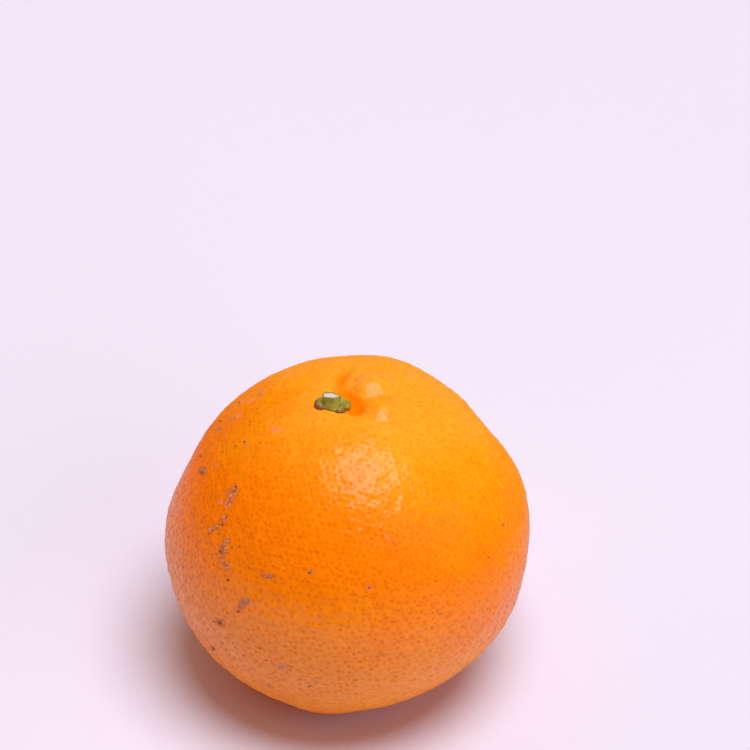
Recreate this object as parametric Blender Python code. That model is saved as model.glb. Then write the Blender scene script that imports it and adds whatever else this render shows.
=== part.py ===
"""A harumi mandarin, as picked: the fruit, its five-lobed calyx and the clipped stub of its stem.

Metres, +Z up. The fruit stands on the small flat at its stylar end, which lies on z = 0,
with the middle of its outline over the origin. -Y is its front, and the stem leans a little
to the left and to the front.
"""

import math

import bmesh
import bpy
import numpy as np

# Driving dimensions of the fruit
RIND_RADIUS = 0.036  # half the width across the cheeks
CROWN_HEIGHT = 0.034  # from the widest level up to the stem end
BASE_DEPTH = 0.032  # from the widest level down to the stylar end, before it flattens
CROWN_FULLNESS = 1.87  # 2 is an ellipse, and less lets the crown taper to the stem
BASE_FULLNESS = 2.14  # more than 2 makes the lower cheeks full
REST_SINK = 0.00035  # how far the stylar end is flattened by the fruit's own weight

# Where the stem leaves the fruit
STEM_LEAN = math.radians(6.1)  # away from straight up
STEM_AZIMUTH = math.radians(-151.2)  # which way it leans, anticlockwise from +X
STEM_ARM = 0.0335  # from the fruit's middle to the stem end

# Broad swells of the cheeks and shoulders, and flats where the height is negative:
# azimuth and elevation in degrees, spread in degrees, height in metres
BODY_SWELLS = (
    (90.0, 48.0, 34.0, 0.0005),  # back shoulder
    (68.0, 47.0, 15.0, 0.0009),  # its fullest part
    (94.0, 49.0, 10.0, -0.0003),  # dip beside it
    (105.0, 50.0, 13.0, 0.0003),
    (178.0, 35.0, 20.0, -0.0008),  # flat on the left shoulder
    (166.0, 14.0, 15.0, -0.0009),  # flat below it, towards the back
    (174.0, 6.0, 12.0, 0.0005),  # left cheek
    (-172.0, -4.0, 18.0, 0.0002),
    (38.0, 35.0, 9.0, 0.0005),  # corner of the right shoulder
    (32.0, 32.0, 15.0, -0.0007),  # flat below it
    (27.0, 28.0, 9.0, -0.0006),
    (-8.0, -9.0, 20.0, -0.0007),  # flat on the right cheek
    (-20.0, -21.0, 11.0, 0.0003),  # corner below it
    (-42.0, -36.0, 28.0, -0.0007),  # flat at the right of the base
    (-35.0, -34.0, 11.0, 0.0002),
    (-97.0, -49.0, 8.0, 0.0007),  # boss at the front of the base
    (-107.0, -48.0, 9.0, 0.0008),
    (-90.0, -48.0, 28.0, 0.0002),
    (-138.0, -36.0, 28.0, 0.0006),  # left of the base
    (62.0, -20.0, 24.0, 0.0005),  # back right cheek
    (118.0, -34.0, 22.0, -0.0007),  # flat at the back of the base
)

# Relief round the stem. Each fold lies along a line from the stem: azimuth in degrees, and in
# metres its distance from the stem, its height, its spread along the line and across it
STEM_FOLDS = (
    (15.0, 0.0032, -0.0010, 0.0034, 0.0050),  # basin, to the right of the stem
    (44.0, 0.0041, -0.0018, 0.0019, 0.0024),  # pit at its back
    (-8.0, 0.0046, -0.0015, 0.0019, 0.0018),  # pit at its front
    (16.5, 0.0084, -0.0007, 0.0034, 0.0015),  # groove between the two knobs
    (45.0, 0.0091, 0.0012, 0.0028, 0.0028),  # back knob, as two that meet
    (33.0, 0.0116, 0.0012, 0.0028, 0.0028),
    (-9.0, 0.0099, 0.0014, 0.0021, 0.0019),  # front knob
    (60.0, 0.0100, -0.0006, 0.0026, 0.0007),  # groove behind the back knob
    (66.0, 0.0118, 0.0007, 0.0016, 0.0008),  # thin ridge behind the groove
    (80.0, 0.0084, -0.0012, 0.0042, 0.0014),  # furrow running to the back
    (95.0, 0.0070, 0.0003, 0.0026, 0.0010),
    (118.0, 0.0056, -0.0003, 0.0028, 0.0011),
    (150.0, 0.0060, 0.0004, 0.0034, 0.0024),
    (-166.0, 0.0052, -0.0003, 0.0024, 0.0012),
    (-125.0, 0.0048, 0.0003, 0.0024, 0.0014),
    (-98.0, 0.0040, 0.0002, 0.0018, 0.0010),
    (-74.0, 0.0036, -0.0003, 0.0016, 0.0008),
    (-48.0, 0.0056, 0.0002, 0.0024, 0.0014),
)

# The stylar end, under the fruit
SCAR_DEPTH = 0.0009
SCAR_SPREAD = 0.0012

# Stub of the stem, clipped off with a slanting cut: it widens a little up to the cut
STUB_FOOT_RADIUS = 0.0015
STUB_WAIST_RADIUS = 0.00152
STUB_TOP_RADIUS = 0.00164
STUB_HEIGHT = 0.0024  # at its middle, above the rind
STUB_CUT_SLOPE = 0.42  # rise of the cut for each metre across it
STUB_CUT_RISES_TO = math.radians(-75.0)
STUB_RIDGES = 5
STUB_RIDGE_HEIGHT = 0.0001
WOOD_RADIUS = 0.0014  # wood shown by the cut, inside the bark
WOOD_SINK = 0.00012
BARK_BEVEL, WOOD_BEVEL = 0.00008, 0.00006

# Calyx: azimuth in degrees, reach in metres, half width in degrees, and lift of the tip
SEPALS = (
    (186.0, 0.0034, 28.0, 0.0003),  # left
    (-42.0, 0.0030, 20.0, 0.0001),  # front, shrivelled
    (16.0, 0.0040, 25.0, 0.0018),  # right
    (74.0, 0.0032, 19.0, 0.0008),
    (128.0, 0.0034, 20.0, 0.0003),
)
CALYX_RIM_RADIUS = 0.0025  # between the sepals
CALYX_THICKNESS = 0.0010
SEPAL_TIP_THICKNESS = 0.0007
CALYX_SQUARENESS = 0.55  # power that squares its round section, so that it hugs the stub

TOUCH_GAP = 0.0003  # left between pieces that touch

# Mesh resolution
RIND_SEGMENTS, RIND_RINGS = 88, 46
RING_CROWDING = 0.1  # draws the rings of the rind towards its two ends
STUB_SEGMENTS = 40
CALYX_SEGMENTS, CALYX_SIDES = 72, 10

# Colours, roughness
RIND_COLOUR, RIND_ROUGHNESS = (0.93, 0.30, 0.015, 1.0), 0.42
CALYX_COLOUR, CALYX_ROUGHNESS = (0.16, 0.20, 0.04, 1.0), 0.7
STUB_COLOUR, STUB_ROUGHNESS = (0.24, 0.30, 0.09, 1.0), 0.65


def unit(azimuth, elevation):
    """Direction of an azimuth and an elevation, in radians."""
    flat = math.cos(elevation)
    return np.array([math.cos(azimuth) * flat, math.sin(azimuth) * flat, math.sin(elevation)])


STEM_AXIS = unit(STEM_AZIMUTH, math.pi / 2 - STEM_LEAN)
STEM_RIGHT = np.cross((0.0, 1.0, 0.0), STEM_AXIS)
STEM_RIGHT /= np.linalg.norm(STEM_RIGHT)
STEM_BACK = np.cross(STEM_AXIS, STEM_RIGHT)


def bell(offset, spread):
    """A smooth bump, 1 at its middle."""
    return np.exp(-((offset / spread) ** 2))


def body_radius(directions):
    """Distance of the rind from the fruit's middle, with its swells but no relief."""
    across = np.hypot(directions[:, 0], directions[:, 1]) / RIND_RADIUS
    up = directions[:, 2]
    along = np.where(up > 0, up / CROWN_HEIGHT, -up / BASE_DEPTH)
    fullness = np.where(up > 0, CROWN_FULLNESS, BASE_FULLNESS)
    radius = (across**fullness + along**fullness) ** (-1 / fullness)
    for azimuth, elevation, spread, height in BODY_SWELLS:
        middle = unit(math.radians(azimuth), math.radians(elevation))
        angle = np.degrees(np.arccos(np.clip(directions @ middle, -1, 1)))
        radius = radius + height * bell(angle, spread)
    return radius


def stem_chart(directions):
    """Distances to the right and back of the stem, measured along the rind, and to its far end."""
    polar = np.arccos(np.clip(directions @ STEM_AXIS, -1, 1))
    azimuth = np.arctan2(directions @ STEM_BACK, directions @ STEM_RIGHT)
    reach = polar * STEM_ARM
    return reach * np.cos(azimuth), reach * np.sin(azimuth), (math.pi - polar) * BASE_DEPTH


def relief(directions):
    """Height of the folds round the stem, and of the little scar at the stylar end."""
    right, back, from_scar = stem_chart(directions)
    height = -SCAR_DEPTH * bell(from_scar, SCAR_SPREAD)
    for azimuth, distance, rise, along_spread, across_spread in STEM_FOLDS:
        out = np.array([math.cos(math.radians(azimuth)), math.sin(math.radians(azimuth))])
        along = right * out[0] + back * out[1] - distance
        across = back * out[0] - right * out[1]
        height = height + rise * bell(along, along_spread) * bell(across, across_spread)
    return height


def rind_points(directions):
    """Points of the rind in these directions from the fruit's middle."""
    points = directions * (body_radius(directions) + relief(directions))[:, None]
    points[:, 2] = np.maximum(points[:, 2], REST_SINK - BASE_DEPTH)
    return points


def over_rind(reach, azimuth, height):
    """Points at a distance from the stem, measured along the rind, and at a height over it."""
    polar = (reach / STEM_ARM)[:, None]
    out = np.cos(azimuth)[:, None] * STEM_RIGHT + np.sin(azimuth)[:, None] * STEM_BACK
    directions = np.cos(polar) * STEM_AXIS + np.sin(polar) * out
    return rind_points(directions) + height[:, None] * STEM_AXIS


def vertex_array(bm):
    return np.array([vertex.co[:] for vertex in bm.verts])


def finish_object(name, bm, points, material, parent):
    """Moves the mesh's vertices to these points and makes it an object, shaded smooth."""
    for vertex, point in zip(bm.verts, points):
        vertex.co = point
    bmesh.ops.recalc_face_normals(bm, faces=bm.faces)
    mesh = bpy.data.meshes.new(name)
    bm.to_mesh(mesh)
    bm.free()
    mesh.shade_smooth()
    mesh.materials.append(material)
    made = bpy.data.objects.new(name, mesh)
    made.parent = parent
    return made


def make_material(name, colour, roughness):
    material = bpy.data.materials.new(name)
    material.use_nodes = True
    shader = material.node_tree.nodes["Principled BSDF"]
    shader.inputs["Base Color"].default_value = colour
    shader.inputs["Roughness"].default_value = roughness
    shader.inputs["Metallic"].default_value = 0.0
    return material


def sphere_angles(bm):
    """Polar angle and azimuth of each vertex of a unit sphere."""
    x, y, z = vertex_array(bm).T
    return np.arccos(np.clip(z, -1, 1)), np.arctan2(y, x)


def make_fruit(parent):
    """The whole fruit, one grown solid: a sphere drawn to the rind, its poles on the stem's axis."""
    bm = bmesh.new()
    bmesh.ops.create_uvsphere(bm, u_segments=RIND_SEGMENTS, v_segments=RIND_RINGS, radius=1.0)
    polar, azimuth = sphere_angles(bm)
    polar = polar - RING_CROWDING * math.pi * np.sin(2 * polar)
    out = np.cos(azimuth)[:, None] * STEM_RIGHT + np.sin(azimuth)[:, None] * STEM_BACK
    directions = np.cos(polar)[:, None] * STEM_AXIS + np.sin(polar)[:, None] * out
    rind = make_material("rind", RIND_COLOUR, RIND_ROUGHNESS)
    return finish_object("fruit", bm, rind_points(directions), rind, parent)


def stub_profile():
    """Radius and height of the stub's outline, from the middle of its foot to that of its cut."""
    foot = [(STUB_FOOT_RADIUS * share, TOUCH_GAP) for share in (0.0, 0.35, 0.7, 0.96)]
    side = [
        (STUB_FOOT_RADIUS, TOUCH_GAP + 0.0002),
        (STUB_FOOT_RADIUS, TOUCH_GAP + 0.0006),
        (STUB_WAIST_RADIUS, STUB_HEIGHT * 0.42),
        (STUB_WAIST_RADIUS, STUB_HEIGHT * 0.62),
        (STUB_TOP_RADIUS, STUB_HEIGHT * 0.86),
        (STUB_TOP_RADIUS, STUB_HEIGHT - BARK_BEVEL),
    ]
    cut = [
        (STUB_TOP_RADIUS - BARK_BEVEL, STUB_HEIGHT),
        (WOOD_RADIUS + WOOD_BEVEL, STUB_HEIGHT),
        (WOOD_RADIUS, STUB_HEIGHT - WOOD_SINK),
        (WOOD_RADIUS * 0.5, STUB_HEIGHT - WOOD_SINK),
        (0.0, STUB_HEIGHT - WOOD_SINK),
    ]
    return foot + side + cut


def make_stub(parent):
    """The clipped stub: a turned outline with five soft ridges, cut off on a slant."""
    profile = np.array(stub_profile())
    bm = bmesh.new()
    rings = len(profile) - 1
    bmesh.ops.create_uvsphere(bm, u_segments=STUB_SEGMENTS, v_segments=rings, radius=1.0)
    polar, azimuth = sphere_angles(bm)
    station = np.rint((math.pi - polar) / math.pi * rings).astype(int)
    reach, height = profile[station].T
    reach = reach + STUB_RIDGE_HEIGHT * np.cos(STUB_RIDGES * azimuth) * (reach / STUB_TOP_RADIUS) ** 3
    slant = STUB_CUT_SLOPE * reach * np.cos(azimuth - STUB_CUT_RISES_TO)
    height = height + slant * (height / STUB_HEIGHT) ** 2
    bark = make_material("stem_bark", STUB_COLOUR, STUB_ROUGHNESS)
    return finish_object("stem_stub", bm, over_rind(reach, azimuth, height), bark, parent)


def calyx_edge(azimuth):
    """Reach of the calyx in each direction from the stem, and the lift of its edge there."""
    reach = np.full_like(azimuth, CALYX_RIM_RADIUS)
    lift = np.zeros_like(azimuth)
    for middle, length, half_width, rise in SEPALS:
        offset = np.degrees(azimuth) - middle
        offset = np.abs((offset + 180.0) % 360.0 - 180.0)
        own = np.exp(-((offset / half_width) ** 1.6))
        reach = np.maximum(reach, CALYX_RIM_RADIUS + (length - CALYX_RIM_RADIUS) * own)
        lift = np.maximum(lift, rise * own)
    return reach, lift


def squared(share):
    """Turns the sine or cosine round a section into that of a squarer section."""
    return np.sign(share) * np.abs(share) ** CALYX_SQUARENESS


def make_calyx(parent):
    """The calyx: a ring of five sepals round the stub's foot, a torus drawn out to their tips."""
    bpy.ops.mesh.primitive_torus_add(
        major_segments=CALYX_SEGMENTS, minor_segments=CALYX_SIDES, major_radius=2.0, minor_radius=1.0
    )
    ring = bpy.context.object
    bm = bmesh.new()
    bm.from_mesh(ring.data)
    bpy.data.objects.remove(ring)
    x, y, z = vertex_array(bm).T
    azimuth = np.arctan2(y, x)
    outer, lift = calyx_edge(azimuth)
    inner = STUB_FOOT_RADIUS + STUB_RIDGE_HEIGHT + TOUCH_GAP
    across = 0.5 + 0.5 * squared(np.hypot(x, y) - 2.0)  # 0 at the stub, 1 at the tip
    reach = inner + (outer - inner) * across
    thickness = CALYX_THICKNESS + (SEPAL_TIP_THICKNESS - CALYX_THICKNESS) * across
    height = TOUCH_GAP + thickness * (0.5 + 0.5 * squared(z)) + lift * across**2
    green = make_material("calyx", CALYX_COLOUR, CALYX_ROUGHNESS)
    return finish_object("calyx", bm, over_rind(reach, azimuth, height), green, parent)


def stand_on_origin(stand, fruit):
    """Moves the whole mandarin so that its flat is on z = 0, below the middle of its outline."""
    points = np.array([vertex.co[:] for vertex in fruit.data.vertices])
    low, high = points.min(axis=0), points.max(axis=0)
    stand.location = (-(low[0] + high[0]) / 2, -(low[1] + high[1]) / 2, -low[2])


def clear_scene():
    for old in list(bpy.data.objects):
        bpy.data.objects.remove(old, do_unlink=True)


def main():
    clear_scene()
    collection = bpy.data.collections.new("mandarin")
    bpy.context.scene.collection.children.link(collection)
    stand = bpy.data.objects.new("mandarin_stand", None)
    collection.objects.link(stand)
    pieces = [make_fruit(stand), make_calyx(stand), make_stub(stand)]
    for piece in pieces:
        collection.objects.link(piece)
    stand_on_origin(stand, pieces[0])


main()
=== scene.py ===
"""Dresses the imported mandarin: pored rind with its blemishes, calyx, and clipped stem.

Metres, +Z up, in the frame of the CAD model, where -Y is the front of the fruit.
"""

import logging
import math
from collections.abc import Sequence
from dataclasses import dataclass, field
from enum import Enum

import bmesh
import bpy
import numpy as np
from mathutils import Matrix, Vector, noise
from mathutils.bvhtree import BVHTree


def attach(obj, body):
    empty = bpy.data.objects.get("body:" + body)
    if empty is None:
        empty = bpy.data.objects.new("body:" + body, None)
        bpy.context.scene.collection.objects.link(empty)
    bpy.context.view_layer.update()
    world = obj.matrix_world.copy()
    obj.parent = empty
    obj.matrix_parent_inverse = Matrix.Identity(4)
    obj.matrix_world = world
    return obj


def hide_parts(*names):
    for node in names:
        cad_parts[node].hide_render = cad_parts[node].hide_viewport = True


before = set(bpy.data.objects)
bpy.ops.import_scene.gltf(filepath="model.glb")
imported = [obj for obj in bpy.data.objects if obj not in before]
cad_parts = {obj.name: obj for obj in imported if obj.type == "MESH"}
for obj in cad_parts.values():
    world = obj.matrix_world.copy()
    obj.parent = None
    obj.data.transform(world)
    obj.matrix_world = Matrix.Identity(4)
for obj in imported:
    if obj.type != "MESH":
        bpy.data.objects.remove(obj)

LOG = logging.getLogger("mandarin")
MM = 0.001
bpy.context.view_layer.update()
MIDDLE = Vector((0.38 * MM, -0.06 * MM, 31.65 * MM))  # of the fruit, on its widest level
Colour = tuple[float, float, float]
Place = tuple[float, float, float]
Span = tuple[float, float]
Socket = bpy.types.NodeSocket


def srgb(red: int, green: int, blue: int) -> Colour:
    """Turns a colour as seen on a screen into the shader's linear one.

    Args:
        red: from 0 to 255.
        green: the same.
        blue: the same.

    Returns:
        The colour, with parts from 0 to 1.
    """
    steps = np.array((red, green, blue)) / 255.0
    linear = np.where(steps <= 0.04045, steps / 12.92, ((steps + 0.055) / 1.055) ** 2.4)
    return tuple(float(part) for part in linear)


def smooth_step(values: np.ndarray, low: float, high: float) -> np.ndarray:
    """0 below low, 1 above high, and an S curve between them, for falling ranges too."""
    share = np.clip((values - low) / (high - low), 0.0, 1.0)
    return share * share * (3.0 - 2.0 * share)


def bell(offset: np.ndarray, spread: float) -> np.ndarray:
    """A smooth bump, 1 at its middle."""
    return np.exp(-((offset / spread) ** 2))


def field_noise(points: np.ndarray, scale: float, seed: float = 0.0) -> np.ndarray:
    """Smooth noise between -1 and 1 at each point.

    Args:
        points: places, in metres.
        scale: ripples to the metre.
        seed: shifts the field, so that two uses of it differ.

    Returns:
        One value for each point.
    """
    shift = Vector((seed, -seed, 2.0 * seed))
    return np.array([noise.noise(Vector(point) * scale + shift) for point in points])


def add_object(name: str, data: bpy.types.ID) -> bpy.types.Object:
    """Makes an object of a mesh, light or camera, and adds it to the scene.

    Args:
        name: of the object.
        data: the mesh, light or camera.

    Returns:
        The object.
    """
    made = bpy.data.objects.new(name, data)
    bpy.context.scene.collection.objects.link(made)
    return made


def mesh_of(name: str, bm: bmesh.types.BMesh) -> bpy.types.Mesh:
    """Turns a finished BMesh into a mesh, and frees it.

    Args:
        name: of the mesh.
        bm: the BMesh, which is of no more use after this.

    Returns:
        The mesh.
    """
    mesh = bpy.data.meshes.new(name)
    bm.to_mesh(mesh)
    bm.free()
    return mesh


def store(mesh: bpy.types.Mesh, name: str, domain: str, values: np.ndarray) -> None:
    """Stores a number or a vector for each POINT or each CORNER of a mesh.

    Args:
        mesh: that gets them.
        name: by which a finish reads them.
        domain: POINT or CORNER.
        values: a row for each point or corner.
    """
    kind, key = ("FLOAT", "value") if values.ndim == 1 else ("FLOAT_VECTOR", "vector")
    made = mesh.attributes.new(name, kind, domain)
    made.data.foreach_set(key, values.astype(np.float32).ravel())


class Wiring:
    """A node tree that is being wired: most methods add a node and return what it puts out."""

    def __init__(self, tree: bpy.types.NodeTree) -> None:
        """Starts on an empty tree."""
        self.tree = tree
        tree.nodes.clear()

    def node(self, kind: str, inputs: dict | None = None, **settings: object) -> bpy.types.Node:
        """Adds a node.

        Args:
            kind: its type, without the ShaderNode prefix unless it is a layout node.
            inputs: for each input's name or number, a value or the socket to link.
            settings: the node's own properties.

        Returns:
            The node.
        """
        made = self.tree.nodes.new(kind if kind.startswith("Node") else "ShaderNode" + kind)
        for name, value in settings.items():
            setattr(made, name, value)
        for key, value in (inputs or {}).items():
            socket = made.inputs[key]
            if isinstance(value, Socket):
                self.tree.links.new(value, socket)
            elif socket.type == "RGBA" and len(value) == 3:
                socket.default_value = (*value, 1.0)
            else:
                socket.default_value = value
        return made

    def attribute(self, name: str, output: str = "Fac") -> Socket:
        """A value stored in the mesh, as a number or, with output Vector, a vector."""
        return self.node("Attribute", attribute_type="GEOMETRY", attribute_name=name).outputs[output]

    def position(self) -> Socket:
        """The place on the piece, in its own metres."""
        return self.node("TexCoord").outputs["Object"]

    def along(self, direction: Place) -> Socket:
        """How far in this direction the place on the piece is."""
        inputs = {0: self.position(), 1: direction}
        return self.node("VectorMath", inputs, operation="DOT_PRODUCT").outputs["Value"]

    def math(self, operation: str, *numbers: object) -> Socket:
        """A sum, product or the like of numbers."""
        return self.node("Math", dict(enumerate(numbers)), operation=operation).outputs[0]

    def length(self, vector: Socket) -> Socket:
        """The length of a vector."""
        return self.node("VectorMath", {0: vector}, operation="LENGTH").outputs["Value"]

    def step(self, value: object, low: float, high: float) -> Socket:
        """An S curve from 0 at low to 1 at high."""
        inputs = {"Value": value, "From Min": low, "From Max": high}
        return self.node("MapRange", inputs, interpolation_type="SMOOTHSTEP").outputs["Result"]

    def noise(self, scale: float, detail: float = 2.0, roughness: float = 0.5) -> Socket:
        """Cloudy noise between 0 and 1, with ripples to the metre."""
        inputs = {"Vector": self.position(), "Scale": scale, "Detail": detail, "Roughness": roughness}
        return self.node("TexNoise", inputs).outputs["Fac"]

    def stray(self, scale: float, amount: float, detail: float = 2.0) -> Socket:
        """Cloudy noise round 0, amount from lowest to highest."""
        return self.math("MULTIPLY", self.math("SUBTRACT", self.noise(scale, detail), 0.5), amount)

    def mix(self, share: object, first: object, second: object) -> Socket:
        """A mix of two colours."""
        inputs = {0: share, 6: first, 7: second}
        return self.node("Mix", inputs, data_type="RGBA").outputs[2]

    def ramp(self, share: object, stops: Sequence[tuple[float, Colour]]) -> Socket:
        """A colour read from a ramp of places and colours.

        Args:
            share: where on the ramp to read, from 0 to 1.
            stops: places and colours, in rising order.

        Returns:
            The colour.
        """
        made = self.node("ValToRGB", {"Fac": share})
        elements = made.color_ramp.elements
        while len(elements) < len(stops):
            elements.new(0.5)
        for element, (place, colour) in zip(elements, stops):
            element.position = place
            element.color = (*colour, 1.0)
        return made.outputs["Color"]

    def group(self, tree: bpy.types.NodeTree, inputs: dict) -> bpy.types.Node:
        """A node group with these inputs."""
        return self.node("Group", inputs, node_tree=tree)


class Effects:
    """The shader effects that several finishes share, each a node group that is built once."""

    cloud_span: Span = (0.3, 0.7)  # of the mottle's noise

    def __init__(self) -> None:
        """Builds the groups."""
        self.mottle = self._mottle()
        self.grain = self._grain()

    @staticmethod
    def _group(name: str, inputs: dict[str, str], outputs: dict[str, str]) -> tuple:
        """Makes an empty group.

        Args:
            name: of the group.
            inputs: socket type by name.
            outputs: socket type by name.

        Returns:
            The group's tree, its wiring, and its input and output nodes.
        """
        tree = bpy.data.node_groups.new(name, "ShaderNodeTree")
        for way, sockets in (("INPUT", inputs), ("OUTPUT", outputs)):
            for label, kind in sockets.items():
                tree.interface.new_socket(label, in_out=way, socket_type=kind)
        wiring = Wiring(tree)
        return tree, wiring, wiring.node("NodeGroupInput"), wiring.node("NodeGroupOutput")

    def _mottle(self) -> bpy.types.NodeTree:
        """Cloudy changes of colour: Color drifts towards Other by Amount, with clouds of Scale.

        Returns:
            The group's tree.
        """
        tree, wiring, given, put = self._group(
            "mottle",
            {
                "Color": "NodeSocketColor",
                "Other": "NodeSocketColor",
                "Scale": "NodeSocketFloat",
                "Amount": "NodeSocketFloat",
            },
            {"Color": "NodeSocketColor"},
        )
        cloud = wiring.noise(given.outputs["Scale"], detail=3.0)
        share = wiring.math("MULTIPLY", wiring.step(cloud, *self.cloud_span), given.outputs["Amount"])
        mixed = wiring.mix(share, given.outputs["Color"], given.outputs["Other"])
        tree.links.new(mixed, put.inputs["Color"])
        return tree

    def _grain(self) -> bpy.types.NodeTree:
        """Fine roughness of a surface, as a height in metres: Height up to Depth, at Scale.

        Returns:
            The group's tree.
        """
        tree, wiring, given, put = self._group(
            "grain",
            {"Scale": "NodeSocketFloat", "Depth": "NodeSocketFloat"},
            {"Height": "NodeSocketFloat"},
        )
        cloud = wiring.noise(given.outputs["Scale"], detail=4.0, roughness=0.6)
        tree.links.new(wiring.math("MULTIPLY", cloud, given.outputs["Depth"]), put.inputs["Height"])
        return tree

    def mottled(self, wiring: Wiring, colour: object, other: object, scale: float, amount: float) -> Socket:
        """Adds the mottle to a material, and returns the colour that it puts out."""
        inputs = {"Color": colour, "Other": other, "Scale": scale, "Amount": amount}
        return wiring.group(self.mottle, inputs).outputs["Color"]

    def grained(self, wiring: Wiring, scale: float, depth: float) -> Socket:
        """Adds the grain to a material, and returns its height in metres."""
        return wiring.group(self.grain, {"Scale": scale, "Depth": depth}).outputs["Height"]


@dataclass(frozen=True)
class Gloss:
    """How a surface shines: values that are the same all over it."""

    roughness: float
    ior: float = 1.45
    specular: float = 0.5
    subsurface: float = 0.0
    subsurface_reach: float = 1.0 * MM
    subsurface_tint: Place = (1.0, 0.35, 0.12)  # share of the reach for red, green and blue
    coat_ior: float = 1.5
    coat_roughness: float = 0.3

    def finish(self, wiring: Wiring, varied: dict[str, Socket]) -> None:
        """Adds the Principled shader and the material's output.

        Args:
            wiring: of the material.
            varied: what changes over the surface, by the name of the shader's input.
        """
        made = wiring.node(
            "BsdfPrincipled",
            {
                "Roughness": self.roughness,
                "IOR": self.ior,
                "Specular IOR Level": self.specular,
                "Subsurface Weight": self.subsurface,
                "Subsurface Radius": self.subsurface_tint,
                "Subsurface Scale": self.subsurface_reach,
                "Coat Weight": 0.0,
                "Coat IOR": self.coat_ior,
                "Coat Roughness": self.coat_roughness,
            },
        )
        for name, socket in varied.items():
            wiring.tree.links.new(socket, made.inputs[name])
        wiring.node("OutputMaterial", {"Surface": made.outputs["BSDF"]})


def new_material(name: str) -> tuple[bpy.types.Material, Wiring]:
    """Makes a material, and the wiring of its empty tree.

    Args:
        name: of the material.

    Returns:
        The material and the wiring.
    """
    material = bpy.data.materials.new(name)
    material.use_nodes = True
    return material, Wiring(material.node_tree)


def bump(wiring: Wiring, height: Socket) -> Socket:
    """The normal of a surface with this height over it, in metres."""
    inputs = {"Strength": 1.0, "Distance": 1.0, "Height": height}
    return wiring.node("Bump", inputs).outputs["Normal"]


class Layer(Enum):
    """The layers of blemishes: flecks lie over halos, and dots over both."""

    HALO = "halo"
    FLECK = "fleck"
    DOT = "dot"


class Stain(Enum):
    """Kinds of blemish, some also used for streaks of painted sheen: layer, tone, cover, relief and grains
    of each.
    """

    SPECK = (Layer.DOT, 0.85, 0.75, 0.3, 0.0)
    SCAB = (Layer.FLECK, 0.58, 0.75, 1.0, 0.9)
    PALE = (Layer.FLECK, 0.0, 0.75, 0.9, 1.0)
    CORK = (Layer.FLECK, 0.0, 0.7, 0.7, 0.35)
    BROWN = (Layer.HALO, 0.6, 0.65, 0.2, 0.0)
    GREY = (Layer.HALO, 0.55, 0.6, 0.6, 0.5)
    RUB = (Layer.FLECK, 0.0, 0.35, 0.5, 0.2)
    # Pink marks; the same kind draws the streaks of painted sheen by the stem.
    PINK = (Layer.HALO, 0.2, 0.6, 0.5, 0.35)
    FAINT = (Layer.HALO, 0.5, 0.3, 0.2, 0.0)

    @property
    def layer(self) -> Layer:
        """Where it lies."""
        return self.value[0]

    @property
    def tone(self) -> float:
        """From 0, pale grey, by way of pink and brown to 1, nearly black."""
        return self.value[1]

    @property
    def strength(self) -> float:
        """Share of the rind's own colour that it hides."""
        return self.value[2]

    @property
    def relief(self) -> float:
        """Height over the rind, as a share of the highest."""
        return self.value[3]

    @property
    def grains(self) -> float:
        """How far pale grains of cork show in it."""
        return self.value[4]


@dataclass(frozen=True)
class ScarFinish:
    """Blemishes, and streaks of painted sheen drawn the same way: stains with a frayed edge, darker in the
    middle, and grains of pale cork in them.
    """

    tones: tuple[tuple[float, Colour], ...] = (
        (0.0, srgb(184, 124, 110)),
        (0.2, srgb(252, 146, 98)),
        (0.4, srgb(208, 110, 46)),
        (0.7, srgb(158, 86, 44)),
        (1.0, srgb(80, 40, 22)),
    )
    cork: Colour = srgb(220, 178, 160)
    fray_scale: float = 2600.0
    fray: float = 1.3  # of the edge, in half sizes of the blemish, as the three spans are
    edge: Span = (1.25, 0.45)
    core: Span = (0.6, 0.0)
    cork_edge: Span = (1.0, 0.7)
    core_tone: float = 0.3  # how much darker the middle is
    grain_scale: float = 3000.0
    grain: Span = (0.46, 0.6)  # of the noise that makes the grains

    def stain(self, wiring: Wiring, layer: Layer) -> tuple[Socket, Socket]:
        """Adds one layer of blemishes.

        Args:
            wiring: of the rind's material.
            layer: which blemishes.

        Returns:
            How far the surface is blemished, and the blemish's colour.
        """
        name = layer.value
        place = wiring.length(wiring.attribute(name + "_place", "Vector"))
        reach = wiring.math("ADD", place, wiring.stray(self.fray_scale, self.fray, detail=3.0))
        strength = wiring.attribute(name + "_strength")
        mask = wiring.math("MULTIPLY", wiring.step(reach, *self.edge), strength)
        core = wiring.math("MULTIPLY_ADD", wiring.step(reach, *self.core), self.core_tone, 1.0)
        tone = wiring.math("MULTIPLY", wiring.attribute(name + "_tone"), core)
        inside = wiring.step(reach, *self.cork_edge)
        inside = wiring.math("MULTIPLY", inside, wiring.attribute(name + "_grains"))
        grain = wiring.step(wiring.noise(self.grain_scale, detail=1.0), *self.grain)
        grains = wiring.math("MULTIPLY", grain, inside)
        return mask, wiring.mix(grains, wiring.ramp(tone, self.tones), self.cork)


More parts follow.
